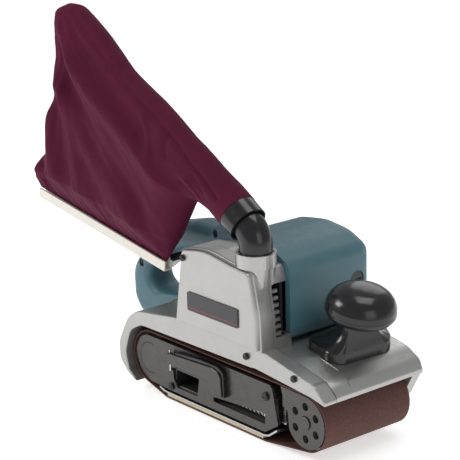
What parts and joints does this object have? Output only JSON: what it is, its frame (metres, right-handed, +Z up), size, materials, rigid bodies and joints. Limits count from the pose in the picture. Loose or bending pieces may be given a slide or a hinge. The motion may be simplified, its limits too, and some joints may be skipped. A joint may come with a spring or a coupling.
{
  "type": "handheld belt sander",
  "caption": "Handheld belt sander with a cast body, cross-mounted motor, rear loop handle, front ball knob and a cloth dust bag on a swivel elbow.",
  "frame": {"origin": "middle of the flat sanding face, on the belt's outer surface under the platen, in the middle plane of the platen; the belt's own centre line is 3 mm towards +Y", "axes": "+X towards the front roller, +Z up away from the work, -Y the open side where the sanding belt slides off"},
  "size_m": [0.4471, 0.166, 0.3605],
  "materials": {
    "cast_silver": "satin silver-grey paint on die-cast metal",
    "teal_plastic": "fine-grained moulded plastic",
    "black_plastic": "smooth moulded plastic",
    "plate_grey": "dark grey paint on pressed steel",
    "badge": "blank dark badge with a thin red line",
    "steel": "machined steel",
    "black_screws": "blackened steel",
    "copper": "copper bars and windings",
    "carbon": "carbon",
    "rubber": "moulded rubber",
    "cork": "pressed cork",
    "abrasive": "brown abrasive grit on cloth",
    "bag_cloth": "dark red woven cloth",
    "strip_plastic": "ivory plastic"
  },
  "bodies": {
    "machine": {"main_frame": "cast_silver", "left_cover": "cast_silver", "label_plate": "badge", "cover_screw_front": "black_screws", "cover_screw_middle": "black_screws", "cover_screw_top": "black_screws", "motor_housing": "teal_plastic", "brush_cap_front": "black_plastic", "brush_cap_rear": "black_plastic", "brush_front": "carbon", "brush_rear": "carbon", "stator": "steel", "bearing_near": "steel", "bearing_far": "steel", "drive_cover": "black_plastic", "drive_belt": "rubber", "drum_bearing": "steel", "side_plate": "plate_grey", "side_screw": "black_screws", "platen_plate": "steel", "cork_pad": "cork", "graphite_pad": "carbon", "sanding_belt": "abrasive", "handle_left": "teal_plastic", "handle_right": "teal_plastic", "handle_screw_low": "black_screws", "handle_screw_top": "black_screws", "switch_body": "black_plastic", "cord_inlet": "black_plastic", "knob_lower": "black_plastic", "knob_upper": "black_plastic", "knob_plinth": "black_plastic", "lever_pin": "steel"},
    "armature": {"armature_shaft": "steel", "armature_core": "copper", "commutator": "copper", "dust_fan": "black_plastic", "small_pulley": "steel"},
    "drum": {"drum_shaft": "steel", "rear_drum": "steel", "drum_sleeve": "rubber", "large_pulley": "steel"},
    "fork": {"front_fork": "plate_grey", "front_axle": "plate_grey", "link_rod": "steel", "tension_spring": "steel"},
    "roller": {"front_roller": "steel"},
    "lever": {"tension_lever": "plate_grey", "lever_grip": "black_plastic"},
    "tracking": {"tracking_screw": "black_screws"},
    "trigger": {"trigger": "black_plastic"},
    "lock": {"lock_button": "black_plastic"},
    "bag_arm": {"dust_elbow": "black_plastic", "bag_cuff": "black_plastic", "dust_bag": "bag_cloth"},
    "strip": {"closing_strip": "strip_plastic"}
  },
  "joints": [
    {"name": "drum_spin", "type": "hinge", "parent": "machine", "child": "drum", "pos_m": [-0.1095, 0, 0.034], "axis": [0, 1, 0], "continuous": true},
    {"name": "armature_spin", "type": "hinge", "parent": "machine", "child": "armature", "pos_m": [0.01, 0, 0.1273], "axis": [0, 1, 0], "continuous": true},
    {"name": "fork_slide", "type": "slide", "parent": "machine", "child": "fork", "axis": [-1, 0, 0], "range_m": [0, 0.00798]},
    {"name": "roller_spin", "type": "hinge", "parent": "fork", "child": "roller", "pos_m": [0.1095, 0, 0.034], "axis": [0, 1, 0], "continuous": true},
    {"name": "lever_swing", "type": "hinge", "parent": "machine", "child": "lever", "pos_m": [-0.074, -0.051, 0.042], "axis": [0, 0, -1], "range_deg": [0, 75]},
    {"name": "tracking_turn", "type": "hinge", "parent": "machine", "child": "tracking", "pos_m": [0.0585, -0.0475, 0.0439], "axis": [0, -1, 0], "range_deg": [-180, 180]},
    {"name": "trigger_press", "type": "slide", "parent": "machine", "child": "trigger", "axis": [-0.6, 0, 0.8], "range_m": [0, 0.005], "stiffness_N_per_m": 600},
    {"name": "lock_press", "type": "slide", "parent": "machine", "child": "lock", "axis": [0, 1, 0], "range_m": [0, 0.002], "stiffness_N_per_m": 300},
    {"name": "bag_swivel", "type": "hinge", "parent": "machine", "child": "bag_arm", "pos_m": [0.04, -0.04, 0.17], "axis": [0, 0, 1], "range_deg": [0, 150]},
    {"name": "strip_slide", "type": "slide", "parent": "bag_arm", "child": "strip", "axis": [-0.9881, 0, 0.1536], "range_m": [0, 0.2]}
  ],
  "couplings": [
    {"joint": "armature_spin", "follows": "drum_spin", "ratio": 2.5882},
    {"joint": "roller_spin", "follows": "drum_spin", "ratio": 1},
    {"joint": "lever_swing", "follows": "fork_slide", "rad_per_m": 163.9}
  ]
}
